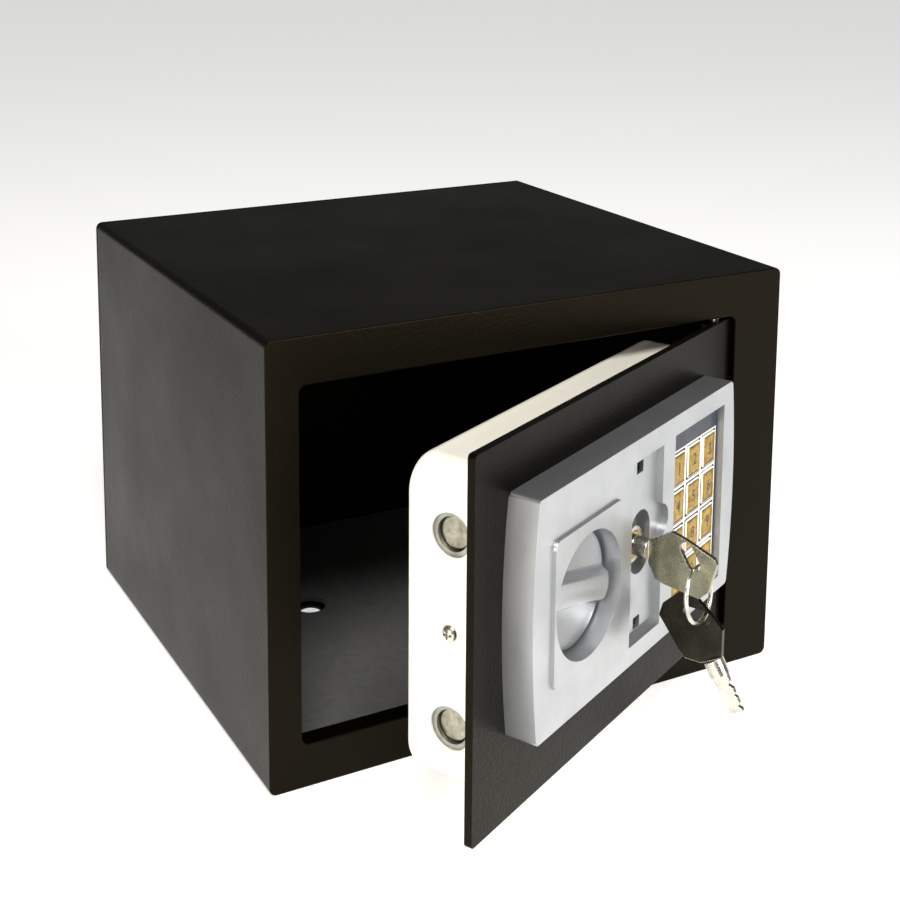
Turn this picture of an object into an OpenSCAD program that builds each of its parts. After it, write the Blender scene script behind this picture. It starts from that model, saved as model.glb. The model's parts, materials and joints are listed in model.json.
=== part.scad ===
// Small electronic home safe, door ajar.
// X runs right along the front, Y runs back, Z is up.
// The origin is the middle of the cabinet's underside.
// Everything on the door is drawn with the door shut and then turned open about the hinge.

/* [Cabinet] */
// Outside width of the cabinet
body_w = 230; // [220:1:300]
// Outside depth of the cabinet
body_d = 210; // [150:1:320]
// Outside height of the cabinet
body_h = 172; // [165:1:230]
// Sheet thickness of the cabinet
sheet = 2; // [1.5:0.1:2.6]
// Outside radius of the folded edges
bend_r = 3; // [2.8:0.1:6]
// Face of the frame left of the opening
border_free = 13; // [12:0.5:20]
// Face of the frame right of the opening
border_hinge = 23; // [18:0.5:30]
// Face of the frame under the opening
border_bottom = 17; // [14:0.5:24]
// Face of the frame over the opening
border_top = 18; // [14:0.5:24]
// Depth of the lip folded in round the opening
lip_depth = 8; // [7.5:0.1:8.5]
// Bore of the anchor holes
anchor_d = 9; // [6:0.5:12]
// Distance between two anchor holes
anchor_pitch = 90; // [60:1:120]

/* [Door] */
// How far the door stands open
door_angle = 27; // [0:1:100]
// Thickness of the door plate
plate_t = 3; // [2.5:0.1:4]
// Gap round the free edge, top and bottom of the door
door_gap = 1; // [0.6:0.1:1.5]
// Gap between the hinge edge and the frame
hinge_gap = 3; // [2.8:0.1:4]
// Diameter of the hinge pins
hinge_pin_d = 4; // [3:0.1:4.5]
// Depth of the inner pan behind the front of the door
pan_depth = 34.5; // [34:0.5:45]
// Sheet thickness of the pan
pan_sheet = 1.5; // [1:0.1:2]
// Corner radius of the pan
pan_corner = 12; // [6:1:16]
// Diameter of the locking bolts
bolt_d = 12; // [8:0.5:13]
// Height between the two bolts
bolt_pitch = 68; // [60:1:72]

/* [Front panel] */
// Width of the moulded panel at its corners
bezel_w = 148; // [146:1:150]
// Height of the moulded panel
bezel_h = 85.5; // [84:0.5:95]
// How far the moulded panel stands off the door
bezel_t = 12; // [11.5:0.1:14]
// How far each end of the panel bows out
bezel_bow = 3.2; // [1:0.1:5]
// Wall of the moulded panel
bezel_wall = 2; // [1.5:0.1:2.2]
// Diameter of the knob
knob_d = 42; // [30:1:44]
// Diameter of the knob spindle
spindle_d = 8; // [7.8:0.1:8.6]
// Key pitch across the keypad
key_pitch_x = 13.3; // [12.9:0.1:13.5]
// Key pitch down the keypad
key_pitch_z = 15; // [13.6:0.1:15.2]

/* [Key lock] */
// Diameter of the lock barrel
lock_d = 14; // [12.5:0.1:15]
// Diameter of the turning plug
plug_d = 10; // [9:0.1:10.6]
// Thickness of a key
key_t = 2; // [1.6:0.1:2.2]
// Length of the key blade behind its collar
blade_l = 14; // [12:1:25]
// Mean diameter of the key ring
ring_d = 20; // [18.5:0.5:26]
// Wire of the key ring
ring_wire = 1.6; // [1.2:0.1:1.8]

/* [Hidden] */
fit = 0.05;
slip = 0.35;
cut = 1;
smooth = 96;
$fn = smooth;
KEYCAPS = ["keycap_1", "keycap_2", "keycap_3", "keycap_4", "keycap_5", "keycap_6",
           "keycap_7", "keycap_8", "keycap_9", "keycap_star", "keycap_0", "keycap_hash"];

// Cabinet and opening
front_y = -body_d/2;
open_x0 = -body_w/2 + border_free;
open_x1 = body_w/2 - border_hinge;
open_z0 = border_bottom;
open_z1 = body_h - border_top;
open_r = 3;
anchor_z = body_h/2;
anchor_y = 20;
mat_t = 2;
mat_inset = 4;

// Door plate, hinge line and pan
free_x = open_x0 + door_gap;
edge_x = open_x1 - hinge_gap;
plate_z0 = open_z0 + door_gap;
plate_z1 = open_z1 - door_gap;
door_mid = (plate_z0 + plate_z1)/2;
plate_r = 1.5;
pin_in = 3.5;
pin_back = plate_t + hinge_pin_d/2;
pin_x = edge_x - pin_in;
pin_y = front_y + pin_back;
pin_deep = 7;
lug_w = 9;
lug_t = 10;
lug_b = 5.5;
bush_d = hinge_pin_d + 2;
bush_t = 5;
pan_free = 9;
pan_hinge = 6;
pan_edge = 11;
pan_x0 = free_x + pan_free;
pan_x1 = edge_x - pan_hinge;
pan_z0 = plate_z0 + pan_edge;
pan_z1 = plate_z1 - pan_edge;

// Locking bolts and the carriage that carries them
bolt_b = 15.3;
bolt_rest = 3;
bolt_l = 22;
bolt_travel = 18;
bolt_hole_d = bolt_d + 3.5;
guide_t = 2.5;
guide_b = 24;
guide_z = 10;
guide_foot = 9;
bolt_tip = pan_x0 + bolt_rest;
carriage_x = bolt_tip + bolt_l;
carriage_t = 2;
carriage_b = 10;
carriage_end = 6.5;
flange_b = 22;

// Knob, spindle and crank
knob_x = free_x + 52;
knob_z = door_mid + 4.5;
knob_back = 4.5;
knob_face = 10.5;
grip_w = 11;
grip_tilt = -14;
scoop_floor = 6.5;
well_gap = 1.5;
well_floor = 4;
boss_d = spindle_d + 4;
square_w = 6;
crank_b = plate_t + 1.3;
crank_t = 3;
crank_r = bolt_travel/2/sin(45);
crank_pin_d = 5;
crank_end_r = 4.5;
crank_arm_w = 7;
crank_hub_r = 8;
crank_slot_gap = 0.75;
slot_z0 = crank_r*cos(45) - crank_pin_d/2 - crank_slot_gap;
slot_z1 = crank_r + crank_pin_d/2 + crank_slot_gap;
web_z0 = knob_z - 10;
web_z1 = knob_z + 22;

// Solenoid
sol_x = free_x + 62;
sol_b = 13;
sol_w = 20;
sol_back = 21;
sol_z0 = knob_z - 42.5;
sol_h = 23;
sol_t = 1.5;
coil_d = 13;
plunger_d = 6;
plunger_z0 = sol_z0 + 7.5;
plunger_z1 = web_z0 - 1;
plunger_travel = 5;
collar_d = 9;
collar_z = plunger_z1 - 6;
carriage_far = sol_x - plunger_d/2 - slip + bolt_travel;
notch_gap = 2;

// Moulded panel: x from the free edge of the door, z from the underside of the cabinet
bezel_x0 = free_x + 20;
bezel_x1 = bezel_x0 + bezel_w;
bezel_mid = door_mid + 6;
bezel_z0 = bezel_mid - bezel_h/2;
bezel_z1 = bezel_mid + bezel_h/2;
bow_r = (pow(bezel_h/2, 2) + pow(bezel_bow, 2))/(2*bezel_bow);
panel_x0 = knob_x - 23.4;
panel_x1 = knob_x + 23.2;
panel_z0 = knob_z - 25.7;
panel_z1 = knob_z + 27;
panel_rise = 1.2;
panel_r = 3;
channel_x0 = free_x + 84;
channel_x1 = free_x + 108;
channel_z0 = bezel_mid - 35.5;
channel_z1 = bezel_mid + 34.5;
channel_slope = 2.5;
channel_floor = bezel_t - 3;
clip_w = 5;
clip_h = 4.5;
clip_x = free_x + 95;
clip_in = 5;
scoop_z = knob_z + 7;
scoop_r = 6.4;
scoop_in = 5;
pad_x0 = free_x + 117.5;
pad_x1 = free_x + 160.5;
pad_z0 = bezel_mid - 37;
pad_z1 = bezel_mid + 35;
pad_floor = bezel_t - 4;
pad_slope = 3.7;
floor_t = 1.6;
boss_x = 7;
boss_z = 7;
post_d = 4;
screw_d = 3;
screw_head_d = 5.6;
screw_head_t = 2;

// Keypad
key_w = 10.6;
key_h = 12.6;
key_r = 1;
keys_x = (pad_x0 + pad_x1)/2;
keys_top = pad_z1 - 10;
key_gap = 0.35;
key_face = pad_floor + 1.8;
key_back = 5;
plate_face = pad_floor + 1.2;
board_face = 3.8;
board_t = 1.6;
board_x0 = channel_x1 + 2.5;
board_x1 = bezel_x1 - bezel_wall - 0.5;
board_z0 = pad_z0 + 5.5;
board_z1 = pad_z1 - 3.5;
post_in = 2.6;
dome_d = 5;
dome_t = 0.3;

// Key lock
lock_x = free_x + 96;
lock_z = knob_z + 0.3;
lock_face = 6.8;
lock_b = 24;
lock_flange_d = 17;
lock_flange_t = 1.9;
nut_w = 20;
nut_t = 4;
pocket_w = 15.6;
pocket_z0 = lock_z - 10.5;
pocket_z1 = lock_z + 13.7;
pocket_wall = 1.5;
pocket_floor = 3.6;
cam_w = 9;
cam_l = 22;
cam_t = 2;
cam_screw_d = 4;
keyway_h = 7;
keyway_t = key_t + 0.5;

// Keys and ring
collar_r = 3.75;
collar_l = 6;
key_face_d = lock_face + 0.4;
blade_h = 6.4;
slot_l = 11;
slot_w = 5;
slot_tilt = -59;
slot_u = 16.5;
slot_v = 1.5;
slot_reach = (slot_l - slot_w)/2;
wire_reach = slot_w/2 - ring_wire/2 - slip;
hang_u = slot_u + (slot_reach + wire_reach)*cos(slot_tilt);
hang_v = slot_v + (slot_reach + wire_reach)*sin(slot_tilt);
bow_d = key_face_d + collar_l;
ring_y = bow_d + hang_u;
ring_top = lock_z + hang_v;
ring_lean = 7;
spare_side = 4;
spare_turn = 61;
spare_drop = ring_d/2 + sqrt(pow(ring_d/2, 2) - pow(spare_side, 2));
spare_y = ring_y + spare_drop*sin(ring_lean);
spare_z = ring_top - spare_drop*cos(ring_lean);
spare_reach = wire_reach - key_t/2*tan(asin(spare_side/(ring_d/2)));
spare_u = slot_u - slot_reach*cos(slot_tilt) + spare_reach*sin(spare_turn);
spare_v = slot_v - slot_reach*sin(slot_tilt) + spare_reach*cos(spare_turn);

// Battery box and reset button
cell_d = 14.2;
cell_l = 50;
cell_pitch = 15;
cells = 4;
box_x0 = free_x + 117;
box_wall = 1.5;
box_in = 56;
box_mid = door_mid;
box_h = cells*cell_pitch + 1;
cell_b = pan_depth - pan_sheet - 9.5;
box_floor = cell_b - cell_d/2 - slip;
cover_lip = 2;
cover_t = 1.4;
reset_x = free_x + 104;
reset_z = pan_z1 - 14;
reset_d = 5;
reset_flange_d = 7;
reset_travel = 1.5;
switch_w = 11;
switch_b = 9.5;

// Wiring inside the door
wire_d = 2.8;
wire_b = plate_t + 4;
grommet_d = 8;
wire_x = board_x0 + 8;
wire_z = board_z1 - 3;
drop_x = lock_x - 14.5;
drop_z = sol_z0 + 14;
lead_b = box_floor + 4;

// A flat shape in X and Z, made solid from depth b0 to b1 behind the front of the door
module slab(b0, b1) {
    translate([0, front_y + b1, 0])
        rotate([90, 0, 0])
            linear_extrude(b1 - b0)
                children();
}

// A flat shape in Y and Z, made solid from x0 to x1
module along_x(x0, x1) {
    translate([x0, 0, 0])
        rotate([90, 0, 90])
            linear_extrude(x1 - x0)
                children();
}

// A rectangle from one corner to the other
module rect(x0, z0, x1, z1) {
    translate([x0, z0])
        square([x1 - x0, z1 - z0]);
}

// The same with round corners
module rrect(x0, z0, x1, z1, r) {
    rect(x0 + r, z0, x1 - r, z1);
    rect(x0, z0 + r, x1, z1 - r);
    for (x = [x0 + r, x1 - r], z = [z0 + r, z1 - r])
        translate([x, z])
            circle(r);
}

// A round bar that runs back from depth b0 to b1
module rod_y(x, z, d, b0, b1) {
    slab(b0, b1)
        translate([x, z])
            circle(d = d);
}

// A round bar that runs right from x0 to x1
module rod_x(b, z, d, x0, x1) {
    translate([x0, front_y + b, z])
        rotate([0, 90, 0])
            cylinder(d = d, h = x1 - x0);
}

// A round bar that stands from z0 to z1
module rod_z(x, b, d, z0, z1) {
    translate([x, front_y + b, z0])
        cylinder(d = d, h = z1 - z0);
}

// Turns what is drawn on the shut door to where the open door is
module on_door() {
    translate([pin_x, pin_y, 0])
        rotate([0, 0, door_angle])
            translate([-pin_x, -pin_y, 0])
                children();
}

// Cabinet --------------------------------------------------------------

// One folded sheet: four walls and the frame round the opening
module body_shell() {
    color("#15130f")
        difference() {
            slab(0, body_d - sheet)
                rrect(-body_w/2, 0, body_w/2, body_h, bend_r);
            slab(sheet, body_d)
                rrect(-body_w/2 + sheet, sheet, body_w/2 - sheet, body_h - sheet, bend_r - sheet + fit);
            slab(-cut, sheet + cut)
                rrect(open_x0, open_z0, open_x1, open_z1, open_r);
            for (s = [-1, 1])
                translate([s*anchor_pitch/2, anchor_y, -cut])
                    cylinder(d = anchor_d, h = sheet + 2*cut);
        }
}

// Lip welded in behind the opening, which the bolts catch
module frame_lip() {
    color("#0c0b0a")
        difference() {
            slab(sheet, lip_depth)
                rrect(open_x0 - sheet, open_z0 - sheet, open_x1 + sheet, open_z1 + sheet, open_r + sheet);
            slab(sheet - cut, lip_depth + cut)
                rrect(open_x0, open_z0, open_x1, open_z1, open_r);
            rod_z(pin_x, pin_back, hinge_pin_d + 2*fit, open_z0 - sheet - cut, open_z1 + sheet + cut);
        }
}

module back_panel() {
    color("#12100d")
        difference() {
            slab(body_d - sheet, body_d)
                rrect(-body_w/2, 0, body_w/2, body_h, bend_r);
            for (s = [-1, 1])
                rod_y(s*anchor_pitch/2, anchor_z, anchor_d, body_d - sheet - cut, body_d + cut);
        }
}

// Bushes on the lip that hold the ends of the hinge pins
module hinge_bushes() {
    color("#3a3a38")
        for (z = [open_z0 - sheet - bush_t, open_z1 + sheet])
            difference() {
                rod_z(pin_x, pin_back, bush_d, z, z + bush_t);
                rod_z(pin_x, pin_back, hinge_pin_d + 2*fit, z - cut, z + bush_t + cut);
            }
}

module floor_mat() {
    color("#2a2a2c")
        difference() {
            translate([-body_w/2 + sheet + mat_inset, front_y + lip_depth + mat_inset, sheet])
                cube([body_w - 2*(sheet + mat_inset), body_d - sheet - lip_depth - 2*mat_inset, mat_t]);
            for (s = [-1, 1])
                translate([s*anchor_pitch/2, anchor_y, 0])
                    cylinder(d = anchor_d + 5, h = body_h/2);
        }
}

// Door -----------------------------------------------------------------

module door_plate() {
    color("#171510") on_door()
        difference() {
            slab(0, plate_t)
                rrect(free_x, plate_z0, edge_x, plate_z1, plate_r);
            rod_y(knob_x, knob_z, spindle_d + 4 + 2*fit, -cut, plate_t + cut);
            rod_y(lock_x, lock_z, lock_d + 2*fit, -cut, plate_t + cut);
            rod_y(wire_x, wire_z, grommet_d + 2*fit, -cut, plate_t + cut);
            bezel_bosses(screw_d + 0.6, -cut, plate_t + cut);
        }
}

// Pressed tray that covers the works on the back of the door
module door_pan() {
    color("#ece6d4") on_door()
        difference() {
            slab(plate_t, pan_depth)
                rrect(pan_x0, pan_z0, pan_x1, pan_z1, pan_corner);
            slab(plate_t - cut, pan_depth - pan_sheet)
                rrect(pan_x0 + pan_sheet, pan_z0 + pan_sheet, pan_x1 - pan_sheet, pan_z1 - pan_sheet,
                      pan_corner - pan_sheet);
            for (s = [-1, 1])
                rod_x(bolt_b, door_mid + s*bolt_pitch/2, bolt_hole_d, pan_x0 - cut, pan_x0 + pan_sheet + cut);
            for (x = [pan_x0, pan_x1 - pan_sheet])
                rod_x(bolt_b, door_mid, screw_d + 1.2, x - cut, x + pan_sheet + cut);
            slab(pan_depth - pan_sheet - cut, pan_depth + cut)
                rect(box_x0 + box_wall, box_mid - box_h/2, box_x0 + box_wall + box_in, box_mid + box_h/2);
            rod_y(reset_x, reset_z, reset_d + 2*slip, pan_depth - pan_sheet - cut, pan_depth + cut);
        }
}

// Lugs welded to the back of the plate, which hold the pins
module hinge_lugs() {
    color("#171510") on_door()
        for (z = [plate_z0 + door_gap, plate_z1 - door_gap - lug_t])
            difference() {
                slab(plate_t, plate_t + lug_b)
                    rect(edge_x - lug_w, z, edge_x - door_gap, z + lug_t - door_gap);
                rod_z(pin_x, pin_back, hinge_pin_d + 2*fit, z - cut, z + lug_t + cut);
            }
}

module hinge_pins() {
    color("#9a9a96") on_door() {
        rod_z(pin_x, pin_back, hinge_pin_d, open_z0 - pin_deep + slip, plate_z0 + door_gap + lug_t - door_gap);
        rod_z(pin_x, pin_back, hinge_pin_d, plate_z1 - door_gap - lug_t, open_z1 + pin_deep - slip);
    }
}

// Bracket that guides both bolts and takes the pan's screw
module bolt_guide() {
    x = pan_x0 + pan_sheet;
    color("#8f8f8a") on_door() {
        difference() {
            slab(plate_t, guide_b)
                rect(x, door_mid - bolt_pitch/2 - guide_z, x + guide_t, door_mid + bolt_pitch/2 + guide_z);
            for (s = [-1, 1])
                rod_x(bolt_b, door_mid + s*bolt_pitch/2, bolt_d + 2*fit, x - cut, x + guide_t + cut);
            rod_x(bolt_b, door_mid, screw_d + 2*fit, x - cut, x + guide_t + cut);
        }
        slab(plate_t, plate_t + sheet)
            rect(x + guide_t, door_mid - bolt_pitch/2 - guide_z, x + guide_foot, door_mid + bolt_pitch/2 + guide_z);
    }
}

// Tab for the screw on the hinge side of the pan
module pan_tab() {
    x = pan_x1 - pan_sheet;
    color("#8f8f8a") on_door()
        difference() {
            slab(plate_t, guide_b)
                rect(x - guide_t, door_mid - guide_z, x, door_mid + guide_z);
            rod_x(bolt_b, door_mid, screw_d + 2*fit, x - guide_t - cut, x + cut);
        }
}

module pan_screws() {
    color("#c9c9c4") on_door()
        for (s = [0, 1])
            translate([s*(pan_x0 + pan_x1), 0, 0])
                mirror([s, 0, 0]) {
                    rod_x(bolt_b, door_mid, screw_d, pan_x0 - fit, pan_x0 + pan_sheet + guide_t + sheet);
                    intersection() {
                        translate([pan_x0 + screw_d/2, front_y + bolt_b, door_mid])
                            sphere(d = 2*screw_d + 1);
                        rod_x(bolt_b, door_mid, 2*screw_d, pan_x0 - screw_d, pan_x0);
                    }
                }
}

// Locking bolts --------------------------------------------------------

// Folded plate that both bolts are riveted to, slotted for the crank pin
module bolt_carriage() {
    color("#a6a6a0") on_door() {
        slab(carriage_b + carriage_t, flange_b)
            rect(carriage_x, door_mid - bolt_pitch/2 - carriage_end,
                 carriage_x + carriage_t, door_mid + bolt_pitch/2 + carriage_end);
        difference() {
            slab(carriage_b, carriage_b + carriage_t) {
                rect(carriage_x, door_mid - bolt_pitch/2 - carriage_end,
                     carriage_x + carriage_t, door_mid + bolt_pitch/2 + carriage_end);
                rect(carriage_x, web_z0, carriage_far, web_z1);
            }
            slab(carriage_b - cut, carriage_b + carriage_t + cut) {
                rect(knob_x + crank_r*sin(45) - crank_pin_d/2 - crank_slot_gap, knob_z + slot_z0,
                     knob_x + crank_r*sin(45) + crank_pin_d/2 + crank_slot_gap, knob_z + slot_z1);
                rect(sol_x - plunger_d/2 - notch_gap, web_z0 - cut,
                     sol_x + plunger_d/2 + notch_gap, web_z0 + plunger_travel + notch_gap);
            }
        }
    }
}

module locking_bolts() {
    color("#b9b9b3") on_door()
        for (s = [-1, 1])
            rod_x(bolt_b, door_mid + s*bolt_pitch/2, bolt_d, bolt_tip, carriage_x);
}

// Knob -----------------------------------------------------------------

module knob_bush() {
    color("#d8d4c8") on_door()
        difference() {
            union() {
                rod_y(knob_x, knob_z, spindle_d + 4, 0, plate_t);
                rod_y(knob_x, knob_z, spindle_d + 7, plate_t, plate_t + 1);
            }
            rod_y(knob_x, knob_z, spindle_d + 2*fit, -cut, plate_t + 1 + cut);
        }
}

// Low disc with a grip bar across it
module knob() {
    color("#c3c3bf") on_door()
        difference() {
            union() {
                rod_y(knob_x, knob_z, knob_d, -knob_face, -knob_back);
                rod_y(knob_x, knob_z, boss_d, -knob_back, -1);
            }
            slab(-knob_face - cut, -scoop_floor)
                translate([knob_x, knob_z])
                    rotate(grip_tilt)
                        difference() {
                            circle(d = knob_d + 2*cut);
                            square([knob_d + 4*cut, grip_w], center = true);
                        }
            rod_y(knob_x, knob_z, spindle_d + 2*fit, -knob_face + sheet, 0);
        }
}

module knob_spindle() {
    color("#b9b9b3") on_door() {
        rod_y(knob_x, knob_z, spindle_d, -knob_face + sheet, crank_b);
        slab(crank_b, crank_b + crank_t)
            translate([knob_x, knob_z])
                square(square_w, center = true);
    }
}

module knob_crank() {
    px = knob_x + crank_r*sin(45);
    pz = knob_z + crank_r*cos(45);
    color("#a6a6a0") on_door() {
        difference() {
            slab(crank_b, crank_b + crank_t) {
                translate([knob_x, knob_z])
                    circle(crank_hub_r);
                translate([px, pz])
                    circle(crank_end_r);
                translate([knob_x, knob_z])
                    rotate(45)
                        translate([0, -crank_arm_w/2])
                            square([crank_r, crank_arm_w]);
            }
            slab(crank_b - cut, crank_b + crank_t + cut)
                translate([knob_x, knob_z])
                    square(square_w + 2*fit, center = true);
        }
        rod_y(px, pz, crank_pin_d, crank_b + crank_t, carriage_b + carriage_t + 1.5);
    }
}

module crank_screw() {
    color("#c9c9c4") on_door()
        rod_y(knob_x, knob_z, square_w + 3, crank_b + crank_t, crank_b + crank_t + 1.5);
}

// Moulded front panel ----------------------------------------------------

// Outline with straight top and bottom and bowed ends, drawn in by a given amount
module bezel_outline(inset) {
    intersection() {
        translate([bezel_x0 - bezel_bow + bow_r, bezel_mid])
            circle(bow_r - inset, $fn = 4*smooth);
        translate([bezel_x1 + bezel_bow - bow_r, bezel_mid])
            circle(bow_r - inset, $fn = 4*smooth);
        rect(bezel_x0 - bezel_bow, bezel_z0 + inset, bezel_x1 + bezel_bow, bezel_z1 - inset);
    }
}

// One round post in each corner of the moulded panel
module bezel_bosses(d, b0, b1) {
    for (x = [bezel_x0 + boss_x, bezel_x1 - boss_x], z = [bezel_z0 + boss_z, bezel_z1 - boss_z])
        rod_y(x, z, d, b0, b1);
}

// Upright slot with round ends
module keyhole(grow) {
    r = pocket_w/2 + grow;
    for (z = [pocket_z0 + pocket_w/2, pocket_z1 - pocket_w/2])
        translate([lock_x, z])
            circle(r);
    rect(lock_x - r, pocket_z0 + pocket_w/2, lock_x + r, pocket_z1 - pocket_w/2);
}

module bezel() {
    color("#bdbdb8") on_door()
        difference() {
            union() {
                difference() {
                    slab(-bezel_t, 0)
                        bezel_outline(0);
                    slab(-bezel_t + bezel_wall, cut)
                        bezel_outline(bezel_wall);
                }
                slab(-bezel_t - panel_rise, -bezel_t)
                    rrect(panel_x0, panel_z0, panel_x1, panel_z1, panel_r);
                bezel_bosses(screw_d + 4, -bezel_t + bezel_wall, 0);
                rod_y(knob_x, knob_z, knob_d + 2*well_gap + 2*bezel_wall, -bezel_t + bezel_wall,
                      -well_floor + floor_t);
                slab(-bezel_t + bezel_wall, -channel_floor + bezel_wall)
                    rect(channel_x0 - bezel_wall, channel_z0 - bezel_wall,
                         channel_x1 + bezel_wall, channel_z1 + bezel_wall);
                slab(-bezel_t + bezel_wall, -channel_floor + bezel_wall)
                    rect(channel_x1, scoop_z - scoop_r - bezel_wall,
                         channel_x1 + scoop_in + bezel_wall, scoop_z + scoop_r + bezel_wall);
                slab(-channel_floor, -pocket_floor + pocket_wall)
                    keyhole(pocket_wall);
                slab(-bezel_t + bezel_wall, -pad_floor + floor_t)
                    rect(pad_x0 - bezel_wall, pad_z0 - bezel_wall, pad_x1 + bezel_wall, pad_z1 + bezel_wall);
                board_posts(post_d, -bezel_t + bezel_wall, -board_face);
            }
            rod_y(knob_x, knob_z, knob_d + 2*well_gap, -bezel_t - panel_rise - cut, -well_floor);
            rod_y(knob_x, knob_z, boss_d + 2*slip, -well_floor - cut, cut);
            slab(-bezel_t - cut, -channel_floor)
                rect(channel_x0, channel_z0 + channel_slope, channel_x1, channel_z1);
            along_x(channel_x0, channel_x1)
                polygon([[front_y - bezel_t - cut, channel_z0],
                         [front_y - bezel_t, channel_z0],
                         [front_y - channel_floor, channel_z0 + channel_slope],
                         [front_y - channel_floor, channel_z0 + channel_slope + cut],
                         [front_y - bezel_t - cut, channel_z0 + channel_slope + cut]]);
            slab(-bezel_t - cut, -channel_floor)
                translate([channel_x1 + scoop_in - scoop_r, scoop_z])
                    circle(scoop_r);
            slab(-channel_floor - cut, cut)
                for (z = [channel_z0 + clip_in, channel_z1 - clip_in])
                    rect(clip_x - clip_w/2, z - clip_h/2, clip_x + clip_w/2, z + clip_h/2);
            slab(-channel_floor - cut, -pocket_floor)
                keyhole(0);
            rod_y(lock_x, lock_z, lock_d + 2*slip, -pocket_floor - cut, cut);
            slab(-bezel_t - cut, -pad_floor)
                rect(pad_x0, pad_z0 + pad_slope, pad_x1, pad_z1);
            along_x(pad_x0, pad_x1)
                polygon([[front_y - bezel_t - cut, pad_z0],
                         [front_y - bezel_t, pad_z0],
                         [front_y - pad_floor, pad_z0 + pad_slope],
                         [front_y - pad_floor, pad_z0 + pad_slope + cut],
                         [front_y - bezel_t - cut, pad_z0 + pad_slope + cut]]);
            key_windows(key_gap + cut, -pad_floor - cut, cut);
            bezel_bosses(screw_d + 2*fit, -bezel_t + bezel_wall + cut, cut);
        }
}

module bezel_screws() {
    color("#c9c9c4") on_door() {
        bezel_bosses(screw_d, -bezel_t + bezel_wall + 2*cut, plate_t);
        bezel_bosses(screw_head_d, plate_t, plate_t + screw_head_t);
    }
}

// Keypad ---------------------------------------------------------------

// Middle of key k, counted along the rows from the top left
function key_x(k) = keys_x + (k%3 - 1)*key_pitch_x;
function key_z(k) = keys_top - key_h/2 - floor(k/3)*key_pitch_z;

// All twelve key openings, each larger than a key by a gap all round
module key_windows(gap, b0, b1) {
    slab(b0, b1)
        for (k = [0 : len(KEYCAPS) - 1])
            rect(key_x(k) - key_w/2 - gap, key_z(k) - key_h/2 - gap,
                 key_x(k) + key_w/2 + gap, key_z(k) + key_h/2 + gap);
}

// Pegs that carry the circuit board
module board_posts(d, b0, b1) {
    for (x = [board_x0 + post_in, board_x1 - post_in], z = [board_z0 + post_in, board_z1 - post_in])
        rod_y(x, z, d, b0, b1);
}

module keypad_plate() {
    color("#232c40") on_door()
        difference() {
            slab(-plate_face, -pad_floor)
                rect(pad_x0 + fit, pad_z0 + pad_slope, pad_x1 - fit, pad_z1 - fit);
            key_windows(key_gap, -plate_face - cut, -pad_floor + cut);
        }
}

module keycap(k) {
    color("#b79a4e") on_door()
        slab(-key_face, -key_back)
            rrect(key_x(k) - key_w/2, key_z(k) - key_h/2, key_x(k) + key_w/2, key_z(k) + key_h/2, key_r);
}

// Circuit board with a dome switch behind each key
module keypad_board() {
    color("#2f6b3c") on_door() {
        difference() {
            slab(-board_face, -board_face + board_t)
                rect(board_x0, board_z0, board_x1, board_z1);
            rod_y(wire_x, wire_z, wire_d + 2*fit, -board_face - cut, cut);
        }
        for (k = [0 : len(KEYCAPS) - 1])
            rod_y(key_x(k), key_z(k), dome_d, -board_face - dome_t, -board_face);
    }
}

module buzzer() {
    color("#1c1c1c") on_door()
        rod_y(board_x0 + 8, board_z0 + 24, 8, -board_face + board_t, -board_face + board_t + 2);
}

// Key lock ---------------------------------------------------------------

module lock_body() {
    color("#b9b7ae") on_door()
        difference() {
            union() {
                rod_y(lock_x, lock_z, lock_d, -lock_face, lock_b);
                rod_y(lock_x, lock_z, lock_flange_d, -lock_flange_t, 0);
            }
            rod_y(lock_x, lock_z, plug_d + 2*fit, -lock_face - cut, lock_b + cut);
        }
}

module lock_nut() {
    color("#b9b7ae") on_door()
        difference() {
            slab(plate_t, plate_t + nut_t)
                translate([lock_x, lock_z])
                    circle(d = nut_w, $fn = 6);
            rod_y(lock_x, lock_z, lock_d + 2*fit, plate_t - cut, plate_t + nut_t + cut);
        }
}

module lock_plug() {
    color("#d4b86a") on_door()
        difference() {
            rod_y(lock_x, lock_z, plug_d, -lock_face, lock_b);
            slab(-lock_face - cut, lock_b - key_t)
                translate([lock_x, lock_z])
                    square([keyway_t, keyway_h], center = true);
        }
}

// Arm on the back of the plug that pulls the solenoid plunger by hand
module lock_cam() {
    color("#a6a6a0") on_door()
        slab(lock_b, lock_b + cam_t) {
            translate([lock_x, lock_z])
                circle(d = cam_w + 2);
            rect(lock_x - cam_w/2, lock_z - cam_l, lock_x + cam_w/2, lock_z);
        }
}

module cam_screw() {
    color("#c9c9c4") on_door()
        rod_y(lock_x, lock_z, 2*cam_screw_d, lock_b + cam_t, lock_b + cam_t + 2);
}

// Flat bow of a key, drawn with the collar's face at the origin and the blade to the left
module key_bow() {
    difference() {
        polygon([[0, 4], [9, 9], [14, 7.6], [26, 3], [27, 1], [24, -10],
                 [20.5, -13.5], [6, -11.5], [3, -10.5], [0, -5]]);
        translate([slot_u, slot_v])
            rotate(slot_tilt) {
                square([slot_l - slot_w, slot_w], center = true);
                for (s = [-1, 1])
                    translate([s*(slot_l - slot_w)/2, 0])
                        circle(d = slot_w);
            }
    }
}

// A whole key lying in Y and Z, its collar face at the origin, the bow towards -Y
module key() {
    rotate([90, 0, -90])
        translate([0, 0, -key_t/2])
            linear_extrude(key_t) {
                key_bow();
                difference() {
                    rect(-collar_l - blade_l, -blade_h/2, cut, blade_h/2);
                    for (i = [0 : 3], s = [-1, 1])
                        translate([-collar_l - 4 - 4*i, s*blade_h/2])
                            rotate(45)
                                square(1 + 0.4*((i + s + 1)%3), center = true);
                }
            }
    rotate([90, 0, 0])
        translate([0, 0, -collar_l])
            cylinder(r = collar_r, h = collar_l);
}

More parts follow.
